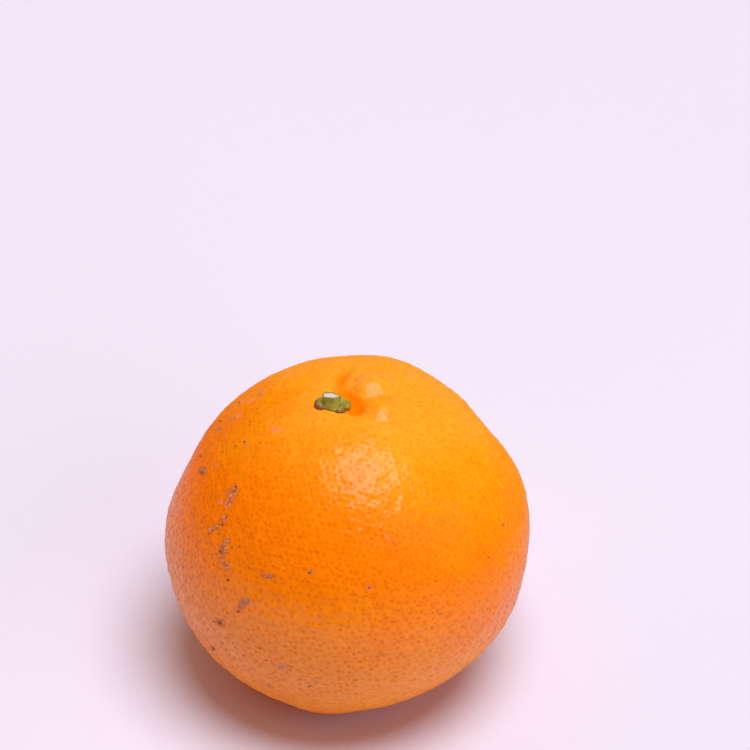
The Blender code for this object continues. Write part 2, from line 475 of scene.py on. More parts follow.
@dataclass(frozen=True)
class Wax:
    """The rind's wax: thick below, rubbed at the foot, and polished on the front of the crown."""

    behind: float = 0.08  # weight of the shader's coat, as the next two are
    front: float = 0.33
    below: float = 0.8
    front_way: Place = (0.0, -0.6, 0.8)
    front_span: Span = (44.0 * MM, 52.0 * MM)  # along front_way
    belt_way: Place = (0.12, 0.0, 1.0)  # along which the next three are
    belt_span: Span = (50.0 * MM, 33.0 * MM)
    rub_span: Span = (28.0 * MM, 8.0 * MM)
    polish_span: Span = (47.0 * MM, 58.0 * MM)
    rubbed: float = 0.6  # share of the wax that is gone at the foot

    def thickness(self, wiring: Wiring) -> Socket:
        """How thick the wax is between the glands.

        Args:
            wiring: of the rind's material.

        Returns:
            The weight of the shader's coat.
        """
        level = wiring.along(self.belt_way)
        left = wiring.math("MULTIPLY_ADD", wiring.step(level, *self.rub_span), -self.rubbed, 1.0)
        belt = wiring.math("MULTIPLY", wiring.step(level, *self.belt_span), left)
        crown = wiring.step(wiring.along(self.front_way), *self.front_span)
        polished = wiring.math("MULTIPLY", crown, wiring.step(level, *self.polish_span))
        front = wiring.math("MULTIPLY", polished, self.front)
        below = wiring.math("MULTIPLY", belt, self.below)
        return wiring.math("MAXIMUM", wiring.math("MAXIMUM", front, below), self.behind)


@dataclass(frozen=True)
class RindFinish:
    """Waxy orange rind: a darker dot over each oil gland, and grey and brown blemishes, with painted light
    and shade: a paler foot and peach sole, a darker underside, deeper orange hollows by the stem, sheen
    streaks, and a top that is paler partly by its own tone.
    """

    # The top and crown colours are yellower and paler up the crown: partly the rind's own tone, partly
    # painted light on the lit top.
    top: Colour = (1.0, 0.395, 0.022)
    crown: Colour = (1.0, 0.385, 0.005)
    cheek: Colour = (1.0, 0.203, 0.0)
    # The foot colour is painted light: paler towards the foot, for the light that the pale floor throws up.
    foot: Colour = (1.0, 0.31, 0.008)
    # The sole colour is painted sheen: peach along the lowest rim, for the pale floor's reflection.
    painted_sheen_sole: Colour = (1.0, 0.34, 0.05)
    # The under colour is painted shade: a darker orange where the fruit rests on the floor.
    under: Colour = (0.9, 0.15, 0.0)
    # The hollow colour is painted shade: a deeper orange in the folds round the stem.
    painted_hollow_shade: Colour = (0.98, 0.235, 0.0)
    gland: Colour = (0.86, 0.145, 0.0)
    crown_way: Place = (0.3, 0.35, 0.89)  # along which the next four are
    crown_span: Span = (24.0 * MM, 65.0 * MM)
    top_span: Span = (50.0 * MM, 62.0 * MM)
    painted_light_foot_span: Span = (42.0 * MM, 8.0 * MM)
    painted_sheen_sole_span: Span = (12.0 * MM, -6.0 * MM)
    painted_shade_under_span: Span = (10.0 * MM, 5.5 * MM)  # of height
    drift_scale: float = 90.0
    drift: float = 22.0 * MM  # how far the colours' borders stray
    cloud_scale: float = 800.0
    cloud: float = 0.45
    cloud_tone: float = 0.5  # share of the glands' colour in the clouds
    dot_span: Span = (1.0, 0.15)  # from a dot's edge to its middle, in radii of its gland
    dot_scale: float = 2300.0
    dot_stray: float = 0.7  # of its edge, in the same radii
    dot_share: float = 0.7
    crown_ease: float = 0.6  # how much paler the dots are on the crown
    dot_wear: float = 0.7  # share of the wax that is missing over a dot
    dent: float = 0.03 * MM
    wrinkle_scale: float = 1600.0
    wrinkle_depth: float = 0.026 * MM
    grain_scale: float = 3500.0
    grain_depth: float = 0.006 * MM
    scar_roughness: float = 0.3  # added to the rind's own
    scars: ScarFinish = ScarFinish()
    wax: Wax = Wax()
    gloss: Gloss = Gloss(
        roughness=0.38,
        specular=0.0,
        subsurface=0.08,
        subsurface_reach=1.5 * MM,
        coat_ior=1.5,
        coat_roughness=0.2,
    )

    def material(self, effects: Effects) -> bpy.types.Material:
        """Builds the finish as a material.

        Args:
            effects: the shared ones.

        Returns:
            The material.
        """
        material, wiring = new_material("waxy_rind")
        # Painted shade: where the folds round the stem lie deep, the rind turns a deeper orange and loses
        # its coat.
        painted_hollow_shade = wiring.attribute("painted_hollow_shade")
        base, crowned = self._base(wiring, effects)
        base = wiring.mix(painted_hollow_shade, base, self.painted_hollow_shade)
        dot = self._dot(wiring)
        ease = -self.crown_ease * self.dot_share
        share = wiring.math("MULTIPLY_ADD", crowned, ease, self.dot_share)
        colour = wiring.mix(wiring.math("MULTIPLY", dot, share), base, self.gland)
        scar = 0.0
        for layer in Layer:
            mask, stain = self.scars.stain(wiring, layer)
            colour = wiring.mix(mask, colour, stain)
            scar = wiring.math("MAXIMUM", scar, mask)
        worn = wiring.math("MULTIPLY", dot, self.dot_wear)
        bare = wiring.math("MAXIMUM", wiring.math("MAXIMUM", scar, painted_hollow_shade), worn)
        waxed = wiring.math("SUBTRACT", 1.0, bare)
        varied = {
            "Base Color": colour,
            "Roughness": wiring.math("MULTIPLY_ADD", scar, self.scar_roughness, self.gloss.roughness),
            "Coat Weight": wiring.math("MULTIPLY", waxed, self.wax.thickness(wiring)),
            "Normal": self._normal(wiring, effects, dot),
        }
        self.gloss.finish(wiring, varied)
        return material

    def _base(self, wiring: Wiring, effects: Effects) -> tuple[Socket, Socket]:
        """Adds the colour between the glands: paler up the crown, partly its own tone and partly painted
        light, with painted light at the foot and sole and painted shade underneath.

        Args:
            wiring: of the material.
            effects: the shared ones.

        Returns:
            The colour, and how far up the crown the surface is.
        """
        stray = wiring.stray(self.drift_scale, self.drift)
        level = wiring.math("ADD", wiring.along(self.crown_way), stray)
        crowned = wiring.step(level, *self.crown_span)
        colour = wiring.mix(crowned, self.cheek, self.crown)
        for place, span, other in (
            (level, self.top_span, self.top),
            (level, self.painted_light_foot_span, self.foot),
            (level, self.painted_sheen_sole_span, self.painted_sheen_sole),
            (wiring.along((0.0, 0.0, 1.0)), self.painted_shade_under_span, self.under),
        ):
            colour = wiring.mix(wiring.step(place, *span), colour, other)
        deep = wiring.mix(self.cloud_tone, colour, self.gland)
        return effects.mottled(wiring, colour, deep, self.cloud_scale, self.cloud), crowned

    def _dot(self, wiring: Wiring) -> Socket:
        """How far inside a gland's dot the surface is.

        Args:
            wiring: of the material.

        Returns:
            0 outside the dot, up to 1 in the middle of a strong one.
        """
        reach = wiring.length(wiring.attribute("gland", "Vector"))
        reach = wiring.math("ADD", reach, wiring.stray(self.dot_scale, self.dot_stray))
        tone = wiring.attribute("gland_tone")
        return wiring.math("MULTIPLY", wiring.step(reach, *self.dot_span), tone)

    def _normal(self, wiring: Wiring, effects: Effects, dot: Socket) -> Socket:
        """The normal over grain, wrinkles and the dents of the glands.

        Args:
            wiring: of the material.
            effects: the shared ones.
            dot: how far inside a gland's dot the surface is.

        Returns:
            The normal.
        """
        grain = effects.grained(wiring, self.grain_scale, self.grain_depth)
        wrinkles = effects.grained(wiring, self.wrinkle_scale, self.wrinkle_depth)
        dent = wiring.math("MULTIPLY", dot, self.dent)
        height = wiring.math("SUBTRACT", wiring.math("ADD", grain, wrinkles), dent)
        return bump(wiring, height)


@dataclass(frozen=True)
class SepalFinish:
    """Green sepals that turn olive and brown with age, towards their tips."""

    fresh: Colour = srgb(174, 168, 56)
    dull: Colour = srgb(126, 130, 48)
    old: Colour = srgb(128, 86, 38)
    cloud_scale: float = 900.0
    cloud: float = 0.9
    age_scale: float = 1800.0
    age_span: Span = (0.35, 0.95)
    grain_scale: float = 4000.0
    grain_depth: float = 0.06 * MM
    gloss: Gloss = Gloss(roughness=0.55, subsurface=0.08)

    def material(self, effects: Effects) -> bpy.types.Material:
        """Builds the finish as a material.

        Args:
            effects: the shared ones.

        Returns:
            The material.
        """
        material, wiring = new_material("sepal_skin")
        green = effects.mottled(wiring, self.fresh, self.dull, self.cloud_scale, self.cloud)
        ageing = wiring.math("ADD", wiring.attribute("age"), wiring.stray(self.age_scale, 1.0))
        colour = wiring.mix(wiring.step(ageing, *self.age_span), green, self.old)
        grain = effects.grained(wiring, self.grain_scale, self.grain_depth)
        self.gloss.finish(wiring, {"Base Color": colour, "Normal": bump(wiring, grain)})
        return material


@dataclass(frozen=True)
class BarkFinish:
    """Green bark of a young stem, brown along the rim of the cut."""

    green: Colour = srgb(138, 158, 66)
    pale: Colour = srgb(160, 174, 92)
    rim: Colour = srgb(92, 84, 52)
    cloud_scale: float = 1300.0
    cloud: float = 0.8
    rim_span: Span = (0.2, 0.9)
    grain_scale: float = 3500.0
    grain_depth: float = 0.08 * MM
    gloss: Gloss = Gloss(roughness=0.5, subsurface=0.06)

    def material(self, effects: Effects) -> bpy.types.Material:
        """Builds the finish as a material.

        Args:
            effects: the shared ones.

        Returns:
            The material.
        """
        material, wiring = new_material("green_bark")
        green = effects.mottled(wiring, self.green, self.pale, self.cloud_scale, self.cloud)
        colour = wiring.mix(wiring.step(wiring.attribute("rim"), *self.rim_span), green, self.rim)
        grain = effects.grained(wiring, self.grain_scale, self.grain_depth)
        self.gloss.finish(wiring, {"Base Color": colour, "Normal": bump(wiring, grain)})
        return material


@dataclass(frozen=True)
class CutWoodFinish:
    """Pale wood of the cut: pith in the middle, and a darker ring under the bark."""

    pith: Colour = srgb(222, 208, 190)
    wood: Colour = srgb(232, 218, 212)
    ring: Colour = srgb(196, 178, 140)
    pith_reach: float = 0.2  # as a share of the wood's radius, as the next is
    ring_begins: float = 0.82
    cloud_scale: float = 2500.0
    cloud: float = 0.35
    grain_scale: float = 6000.0
    grain_depth: float = 0.05 * MM
    gloss: Gloss = Gloss(roughness=0.7)

    def material(self, effects: Effects) -> bpy.types.Material:
        """Builds the finish as a material.

        Args:
            effects: the shared ones.

        Returns:
            The material.
        """
        material, wiring = new_material("cut_wood")
        inner = [(0.0, self.pith), (self.pith_reach, self.wood)]
        outer = [(self.ring_begins, self.wood), (1.0, self.ring)]
        rings = wiring.ramp(wiring.attribute("from_pith"), inner + outer)
        colour = effects.mottled(wiring, rings, self.pith, self.cloud_scale, self.cloud)
        grain = effects.grained(wiring, self.grain_scale, self.grain_depth)
        self.gloss.finish(wiring, {"Base Color": colour, "Normal": bump(wiring, grain)})
        return material


@dataclass(frozen=True)
class Viewpoint:
    """The photo's camera, in a frame of 750 pixels each way."""

    frame_px: float = 750.0
    focal_px: float = 3048.7
    middle_px: tuple[float, float] = (349.1, 532.1)  # where the fruit's middle is seen
    distance: float = 0.6  # from the eye to the fruit's middle
    elevation: float = math.radians(41.0)  # of the eye, from the fruit's middle
    sensor: float = 36.0  # width, in Blender's millimetres
    nearest: float = 0.03  # that shows

    def forward(self) -> Vector:
        """The way that the camera looks, level from side to side.

        Returns:
            A direction of length 1.
        """
        drop = math.atan((self.middle_px[1] - self.frame_px / 2) / self.focal_px)
        pitch = self.elevation - drop
        return Vector((0.0, math.cos(pitch), -math.sin(pitch)))

    def ray(self, pixel: tuple[float, float]) -> Vector:
        """The direction in which the eye sees a pixel.

        Args:
            pixel: its place from the left and from the top.

        Returns:
            A direction of length 1.
        """
        forward = self.forward()
        right = Vector((1.0, 0.0, 0.0))
        across = (pixel[0] - self.frame_px / 2) / self.focal_px
        down = (pixel[1] - self.frame_px / 2) / self.focal_px
        return (forward + right * across - right.cross(forward) * down).normalized()

    def eye(self) -> Vector:
        """Where the camera stands."""
        return MIDDLE - self.ray(self.middle_px) * self.distance

    def make_camera(self) -> None:
        """Adds the camera and makes it the scene's."""
        data = bpy.data.cameras.new("photo_camera")
        data.sensor_width = self.sensor
        data.lens = self.focal_px / self.frame_px * self.sensor
        data.clip_start = self.nearest
        camera = add_object("photo_camera", data)
        camera.location = self.eye()
        camera.rotation_mode = "QUATERNION"
        camera.rotation_quaternion = self.forward().to_track_quat("-Z", "Y")
        bpy.context.scene.camera = camera


class RindSurface:
    """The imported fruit's surface, smoothed, for what is built on it."""

    weld: float = 0.001 * MM  # distance at which its facets' corners become one
    rounding: int = 2  # times that its facets are cut in four

    def __init__(self, node: bpy.types.Object) -> None:
        """Takes the shape of a CAD node, which stays as it is.

        Args:
            node: the fruit's.
        """
        bm = bmesh.new()
        bm.from_mesh(node.data)
        bmesh.ops.remove_doubles(bm, verts=bm.verts, dist=self.weld)
        mesh = mesh_of("rind_guide", bm)
        guide = add_object("rind_guide", mesh)
        rounding = guide.modifiers.new("rounding", "SUBSURF")
        rounding.levels = rounding.render_levels = self.rounding
        self.tree = BVHTree.FromObject(guide, bpy.context.evaluated_depsgraph_get())
        bpy.data.objects.remove(guide)
        bpy.data.meshes.remove(mesh)

    def along(self, origin: Vector, direction: Vector) -> tuple[Vector, Vector]:
        """The point where a line meets the rind, and the rind's normal there."""
        place, normal, _, _ = self.tree.ray_cast(origin, direction)
        return place, normal

    def over(self, direction: Vector) -> Vector:
        """The point of the rind in this direction from the fruit's middle."""
        return self.along(MIDDLE, direction)[0]


@dataclass(frozen=True)
class Mark:
    """A blemish in its place: its middle, and half its length, half its width and its depth."""

    stain: Stain
    place: Vector
    along: Vector
    across: Vector
    depth: Vector

    def local(self, points: np.ndarray) -> np.ndarray:
        """Where points are from its middle, in half lengths, half widths and depths."""
        axes = np.array((self.along, self.across, self.depth)).T
        return (points - np.array(self.place)) @ np.linalg.inv(axes).T


@dataclass(frozen=True)
class SeenBlemish:
    """A blemish that the photo shows, or a streak of painted sheen: sizes in its pixels, and turn in
    degrees, anticlockwise.
    """

    stain: Stain
    x: float
    y: float
    length: float
    width: float
    turn: float = 0.0

    def mark(self, surface: RindSurface, viewpoint: Viewpoint) -> Mark:
        """Places it on the rind so that the camera sees its pixels.

        Args:
            surface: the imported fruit's.
            viewpoint: the camera.

        Returns:
            The blemish in its place.
        """
        eye = viewpoint.eye()
        place, normal = surface.along(eye, viewpoint.ray((self.x, self.y)))
        turn = math.radians(self.turn)
        halves = []
        for half, angle in ((self.length / 2, turn), (self.width / 2, turn + math.pi / 2)):
            ray = viewpoint.ray((self.x + half * math.cos(angle), self.y - half * math.sin(angle)))
            halves.append(eye + ray * ((place - eye).dot(normal) / ray.dot(normal)) - place)
        return Mark(self.stain, place, *halves, normal * max(half.length for half in halves))


@dataclass(frozen=True)
class HiddenBlemish:
    """A blemish that the photo doesn't show: direction, size in metres, and turn in radians."""

    stain: Stain
    direction: Vector
    length: float
    width: float
    turn: float = 0.0

    def mark(self, surface: RindSurface) -> Mark:
        """Places it on the rind.

        Args:
            surface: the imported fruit's.

        Returns:
            The blemish in its place.
        """
        place, normal = surface.along(MIDDLE, self.direction)
        along = Matrix.Rotation(self.turn, 3, normal) @ normal.orthogonal().normalized()
        across = normal.cross(along)
        half, half_width = self.length / 2, self.width / 2
        return Mark(self.stain, place, along * half, across * half_width, normal * half)


SEEN_BLEMISHES_AND_SHEEN = (
    # High on the left cheek
    SeenBlemish(Stain.BROWN, 202.0, 470.5, 10.0, 9.0, 40.0),
    SeenBlemish(Stain.SCAB, 203.0, 471.5, 7.8, 8.4),
    SeenBlemish(Stain.SPECK, 202.0, 472.5, 3.0, 3.6),
    SeenBlemish(Stain.PINK, 200.5, 449.0, 5.0, 9.0),
    SeenBlemish(Stain.SPECK, 200.0, 456.0, 2.0, 2.5),
    SeenBlemish(Stain.RUB, 245.5, 444.0, 5.0, 6.0),
    SeenBlemish(Stain.SPECK, 244.5, 442.0, 2.6, 3.6),
    SeenBlemish(Stain.BROWN, 236.0, 446.5, 3.6, 3.6),
    SeenBlemish(Stain.BROWN, 222.5, 452.0, 3.0, 3.0),
    SeenBlemish(Stain.RUB, 214.5, 465.0, 3.5, 6.5),
    SeenBlemish(Stain.FAINT, 222.0, 466.0, 3.5, 5.0),
    SeenBlemish(Stain.GREY, 235.5, 485.5, 4.0, 6.0),
    # The broken scab down the left cheek
    SeenBlemish(Stain.FAINT, 231.0, 495.0, 20.0, 15.0, 60.0),
    SeenBlemish(Stain.SPECK, 236.5, 487.0, 2.4, 4.0),
    SeenBlemish(Stain.SPECK, 230.5, 500.0, 2.0, 2.6),
    SeenBlemish(Stain.SPECK, 222.5, 524.5, 3.6, 2.2, 40.0),
    SeenBlemish(Stain.PALE, 224.5, 549.5, 5.0, 7.0),
    SeenBlemish(Stain.FAINT, 219.0, 524.0, 20.0, 9.0, 38.0),
    SeenBlemish(Stain.BROWN, 222.5, 549.0, 9.0, 13.0),
    SeenBlemish(Stain.FAINT, 225.5, 563.0, 9.0, 12.0, -30.0),
    SeenBlemish(Stain.SCAB, 234.0, 491.0, 12.0, 8.4, 40.0),
    SeenBlemish(Stain.GREY, 226.0, 491.5, 5.0, 4.0),
    SeenBlemish(Stain.SCAB, 231.0, 497.5, 5.4, 10.8),
    SeenBlemish(Stain.SCAB, 229.5, 502.5, 7.2, 7.2),
    SeenBlemish(Stain.PINK, 220.0, 502.0, 6.0, 5.0),
    SeenBlemish(Stain.RUB, 225.0, 502.0, 3.5, 3.5),
    SeenBlemish(Stain.SCAB, 227.0, 507.5, 4.2, 4.2),
    SeenBlemish(Stain.FAINT, 211.0, 496.0, 6.0, 6.0),
    SeenBlemish(Stain.SCAB, 225.0, 518.0, 9.6, 7.2, 60.0),
    SeenBlemish(Stain.GREY, 221.5, 523.5, 8.0, 4.0, 40.0),
    SeenBlemish(Stain.SCAB, 217.0, 527.5, 6.0, 4.2, 30.0),
    SeenBlemish(Stain.SCAB, 211.5, 529.5, 10.2, 6.6, 10.0),
    SeenBlemish(Stain.BROWN, 209.0, 534.0, 2.5, 3.0),
    SeenBlemish(Stain.SCAB, 228.0, 540.5, 6.0, 7.8),
    SeenBlemish(Stain.SCAB, 223.5, 549.0, 9.6, 13.2),
    SeenBlemish(Stain.SPECK, 220.3, 551.0, 2.5, 5.0),
    SeenBlemish(Stain.SPECK, 232.0, 547.5, 2.0, 2.5),
    SeenBlemish(Stain.GREY, 222.5, 558.0, 5.0, 5.0),
    SeenBlemish(Stain.SCAB, 224.5, 562.0, 6.0, 6.0),
    SeenBlemish(Stain.SCAB, 228.4, 567.0, 6.0, 8.4),
    SeenBlemish(Stain.FAINT, 219.0, 568.0, 6.0, 6.0),
    SeenBlemish(Stain.SPECK, 228.0, 580.0, 3.8, 3.8),
    # Small scabs across the front
    SeenBlemish(Stain.BROWN, 268.0, 576.0, 16.0, 6.0, -2.0),
    SeenBlemish(Stain.PALE, 268.0, 576.0, 7.0, 5.4),
    SeenBlemish(Stain.SPECK, 268.0, 576.5, 2.6, 2.6),
    SeenBlemish(Stain.GREY, 310.5, 572.3, 8.5, 5.0, 25.0),
    SeenBlemish(Stain.SPECK, 309.5, 573.0, 4.0, 2.5, 25.0),
    SeenBlemish(Stain.PINK, 317.0, 571.0, 4.0, 3.0),
    # Low on the left cheek
    SeenBlemish(Stain.BROWN, 243.0, 604.0, 17.0, 9.0, 50.0),
    SeenBlemish(Stain.CORK, 246.5, 600.5, 7.5, 6.5),
    SeenBlemish(Stain.CORK, 242.0, 605.0, 9.0, 5.5, 55.0),
    SeenBlemish(Stain.BROWN, 239.5, 603.5, 2.4, 6.0),
    SeenBlemish(Stain.SPECK, 238.2, 611.7, 3.5, 3.5),
    SeenBlemish(Stain.BROWN, 220.5, 623.0, 12.0, 8.0, -25.0),
    SeenBlemish(Stain.PALE, 223.3, 622.6, 3.5, 4.5, -40.0),
    SeenBlemish(Stain.SPECK, 220.0, 623.0, 3.6, 3.2),
    SeenBlemish(Stain.BROWN, 214.5, 621.8, 5.0, 3.0),
    SeenBlemish(Stain.SPECK, 213.3, 649.2, 3.8, 4.2),
    SeenBlemish(Stain.PALE, 211.6, 647.4, 2.4, 2.4),
    SeenBlemish(Stain.FAINT, 226.0, 650.5, 5.0, 6.0),
    SeenBlemish(Stain.FAINT, 231.0, 660.0, 4.0, 5.0),
    SeenBlemish(Stain.FAINT, 222.0, 643.0, 5.0, 4.0),
    SeenBlemish(Stain.BROWN, 260.0, 648.3, 3.0, 3.0),
    SeenBlemish(Stain.BROWN, 265.5, 660.5, 2.4, 2.4),
    SeenBlemish(Stain.BROWN, 233.0, 643.0, 2.8, 2.8),
    # Near the foot
    SeenBlemish(Stain.CORK, 281.0, 667.0, 8.5, 6.5),
    SeenBlemish(Stain.FAINT, 289.0, 666.5, 8.0, 5.0),
    SeenBlemish(Stain.GREY, 269.0, 686.0, 6.0, 4.5, -30.0),
    SeenBlemish(Stain.BROWN, 309.0, 686.5, 4.5, 3.6),
    SeenBlemish(Stain.FAINT, 316.0, 682.0, 6.0, 5.0),
    # The middle and the right cheek
    SeenBlemish(Stain.RUB, 369.0, 588.0, 7.0, 7.0),
    SeenBlemish(Stain.SPECK, 369.0, 588.2, 3.0, 3.0),
    SeenBlemish(Stain.PINK, 387.0, 537.0, 11.0, 2.8, -45.0),
    SeenBlemish(Stain.BROWN, 393.0, 542.5, 6.0, 2.0, -38.0),
    SeenBlemish(Stain.BROWN, 503.3, 524.8, 3.4, 3.4),
    SeenBlemish(Stain.BROWN, 489.0, 557.5, 2.6, 2.4),
    SeenBlemish(Stain.FAINT, 510.5, 553.0, 4.0, 6.0),
    SeenBlemish(Stain.FAINT, 300.0, 545.0, 3.0, 3.0),
    SeenBlemish(Stain.FAINT, 397.0, 641.0, 6.0, 3.0, -30.0),
    SeenBlemish(Stain.FAINT, 381.0, 655.0, 9.0, 6.0),
    SeenBlemish(Stain.FAINT, 440.0, 614.0, 6.0, 5.0),
    # Round the crown
    SeenBlemish(Stain.RUB, 261.0, 393.3, 8.5, 7.0, 50.0),
    SeenBlemish(Stain.PINK, 251.5, 400.5, 12.0, 4.0, 35.0),
    SeenBlemish(Stain.BROWN, 239.5, 402.3, 3.4, 3.0),
    SeenBlemish(Stain.PINK, 241.0, 401.5, 6.0, 5.0),
    SeenBlemish(Stain.PINK, 239.0, 415.5, 7.0, 5.0, 40.0),
    SeenBlemish(Stain.RUB, 232.5, 420.0, 9.0, 5.5, 35.0),
    SeenBlemish(Stain.BROWN, 235.0, 418.3, 2.5, 2.5),
    SeenBlemish(Stain.SPECK, 220.0, 421.0, 3.2, 2.6),
    SeenBlemish(Stain.RUB, 219.0, 428.0, 8.5, 6.0, 20.0),
    SeenBlemish(Stain.BROWN, 250.0, 421.6, 2.8, 2.8),
    SeenBlemish(Stain.BROWN, 257.0, 408.5, 2.0, 2.0),
    SeenBlemish(Stain.PINK, 276.0, 429.5, 12.0, 7.0, -10.0),
    SeenBlemish(Stain.BROWN, 276.6, 430.0, 3.0, 3.0),
    SeenBlemish(Stain.BROWN, 280.4, 416.2, 2.2, 2.2),
    # Painted sheen, not blemishes: a pale streak near the top rim, and the highlight along the thin ridge
    # right of the stem.
    SeenBlemish(Stain.PINK, 410.0, 375.0, 10.0, 2.6, -40.0),
    SeenBlemish(Stain.PINK, 361.0, 378.5, 15.0, 3.0, 37.0),
)


@dataclass
class StemEnd:
    """Where the stem leaves the fruit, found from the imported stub."""

    surface: RindSurface
    axis: Vector = field(init=False)
    right: Vector = field(init=False)
    back: Vector = field(init=False)
    arm: float = 33.5 * MM  # from the fruit's middle to the stem end
    foot: float = 1.0 * MM  # height of the part of the stub that shows where it stands

    def __post_init__(self) -> None:
        """Finds the stem's direction from the fruit's middle."""
        points = np.array([vertex.co[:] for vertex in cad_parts["stem_stub"].data.vertices])
        foot = points[points[:, 2] < points[:, 2].min() + self.foot].mean(axis=0)
        self.axis = (Vector(foot) - MIDDLE).normalized()
        self.right = Vector((0.0, 1.0, 0.0)).cross(self.axis).normalized()
        self.back = self.axis.cross(self.right)

    def chart(self, points: np.ndarray) -> tuple[np.ndarray, np.ndarray]:
        """Distance of points from the stem along the rind, and their azimuth round it.

        Args:
            points: a row for each.

        Returns:
            The distances and the azimuths.
        """
        rays = points - np.array(MIDDLE)
        rays /= np.linalg.norm(rays, axis=1)[:, None]
        polar = np.arccos(np.clip(rays @ np.array(self.axis), -1.0, 1.0))
        azimuth = np.arctan2(rays @ np.array(self.back), rays @ np.array(self.right))
        return polar * self.arm, azimuth

    def point(self, reach: float, azimuth: float, height: float) -> Vector:
        """A point at a distance and azimuth from the stem, and at a height over the rind.

        Args:
            reach: distance along the rind.
            azimuth: round the stem, from its right.
            height: along the stem.

        Returns:
            The point.
        """
        polar = reach / self.arm
        out = self.right * math.cos(azimuth) + self.back * math.sin(azimuth)
        direction = self.axis * math.cos(polar) + out * math.sin(polar)
        return self.surface.over(direction) + self.axis * height


@dataclass
class Rind:
    """The fruit's outside: a lattice of oil glands, each a small pit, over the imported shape."""

    levels: int = 6  # subdivisions of the icosahedron whose corners are the glands
    cuts: int = 3  # parts that each side of the lattice's triangles is cut into
    disorder: float = 0.32  # how far a gland strays, as a share of the distance between glands
    gland_radius: float = 0.62 * MM
    gland_sizes: Span = (0.75, 1.15)  # as shares of gland_radius
    gland_tones: Span = (0.45, 1.0)
    faint_glands: float = 0.12  # share of the glands that hardly show
    faint_tone: float = 0.15
    pit_depth: float = 0.2 * MM
    pit_depths: Span = (0.4, 1.5)  # as shares of pit_depth
    pit_side: float = 0.4  # how far down its pit the surface still is, halfway to the next gland
    pit_datum: float = 0.3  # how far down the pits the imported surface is
    swells: tuple[Span, ...] = ((200.0, 0.12 * MM), (450.0, 0.07 * MM))  # to the metre, and height
    ripples: Span = (700.0, 0.16 * MM)  # likewise
    crown_ease: float = 0.55  # how much shallower the pits and the ripples are on the crown
    crown_span: Span = (52.0 * MM, 63.0 * MM)
    pucker: float = 0.02 * MM  # fine folds that run out from the stem
    pucker_folds: float = 17.0
    pucker_sway: Span = (2.2, 3.0)  # how unevenly they are spread, and how often that comes round
    pucker_reach: float = 6.0 * MM
    pucker_spread: float = 3.6 * MM
    scar_height: float = 0.05 * MM
    scar_edge: Span = (1.2, 0.5)  # where a scar begins and is full, in half sizes of it
    hollow_reach: float = 13.0 * MM  # from the stem, where the folds are
    hollow_span: float = 4.0 * MM  # across which the depth of a fold is taken
    hollow_depths: Span = (0.1 * MM, 1.1 * MM)
    hollow_looks: int = 8  # places round a point that its depth is taken from
    hidden_blemishes: int = 34
    hidden_lengths: Span = (0.5 * MM, 1.0 * MM)  # of specks and brown spots
    hidden_widths: Span = (0.5, 0.9)  # as shares of the length
    larger: float = 2.2  # how much longer the other kinds are
    hidden_from_eye: float = -0.1  # highest cosine between their direction and the eye's
    clear_of_stem: float = 0.9  # highest cosine between their direction and the stem's
    style_scar: tuple[tuple[Stain, float], ...] = (  # kinds and widths, under the fruit
        (Stain.SCAB, 2.8 * MM),
        (Stain.SPECK, 1.5 * MM),
    )
    seed: int = 11
    corners: np.ndarray = field(init=False)  # directions of the glands
    faces: np.ndarray = field(init=False)  # glands of each triangle of the lattice

    def _lattice(self) -> None:
        """Makes the glands' directions, shaken out of their regular places, and their triangles."""
        bm = bmesh.new()
        bmesh.ops.create_icosphere(bm, subdivisions=self.levels, radius=1.0)
        corners = np.array([vertex.co[:] for vertex in bm.verts])
        self.faces = np.array([[vertex.index for vertex in face.verts] for face in bm.faces])
        bm.free()
        spacing = math.sqrt(4.0 * math.pi / len(corners) * 2.0 / math.sqrt(3.0))
        rng = np.random.default_rng(self.seed)
        corners = corners + rng.uniform(-1.0, 1.0, corners.shape) * self.disorder * spacing
        self.corners = corners / np.linalg.norm(corners, axis=1)[:, None]

    def _subdivide(self) -> tuple[np.ndarray, np.ndarray, np.ndarray, np.ndarray]:
        """Cuts each triangle of the lattice into smaller ones.

        Returns:
            Directions of all points, how far down a gland's pit each is (1 is the bottom), the
            points of each small triangle, and the gland that it belongs to.
        """
        cuts = self.cuts
        grid = [(i, j) for i in range(cuts + 1) for j in range(cuts + 1 - i)]
        points, sunk, index = list(self.corners), [1.0] * len(self.corners), {}
        triangles, owners = [], []
        for face in self.faces.tolist():
            local = {}
            for i, j in grid:
                weights = {face[0]: cuts - i - j, face[1]: i, face[2]: j}
                used = tuple(sorted((gland, share) for gland, share in weights.items() if share))
                if len(used) == 1:
                    local[i, j] = used[0][0]
                    continue
                if used not in index:
                    index[used] = len(points)
                    points.append(sum(self.corners[gland] * share for gland, share in used))
                    sunk.append(self.pit_side if len(used) == 2 else 0.0)
                local[i, j] = index[used]
            for i, j in grid:
                if i + j < cuts:
                    self._add(triangles, owners, local, face, ((i, j), (i + 1, j), (i, j + 1)))
                if i + j < cuts - 1:
                    cells = ((i + 1, j), (i + 1, j + 1), (i, j + 1))
                    self._add(triangles, owners, local, face, cells)
        directions = np.array(points)
        directions /= np.linalg.norm(directions, axis=1)[:, None]
        return directions, np.array(sunk), np.array(triangles), np.array(owners)

    def _add(self, triangles: list, owners: list, local: dict, face: list, cells: tuple) -> None:
        """Adds one small triangle, and the nearest gland of the lattice's triangle.

        Args:
            triangles: the points of each, to which it is added.
            owners: the gland of each, likewise.
            local: number of the point at each place in the lattice's triangle.
            face: the glands of that triangle.
            cells: places of the small triangle's corners in it.
        """
        triangles.append([local[cell] for cell in cells])
        i, j = np.mean(cells, axis=0)
        owners.append(face[int(np.argmax((self.cuts - i - j, i, j)))])

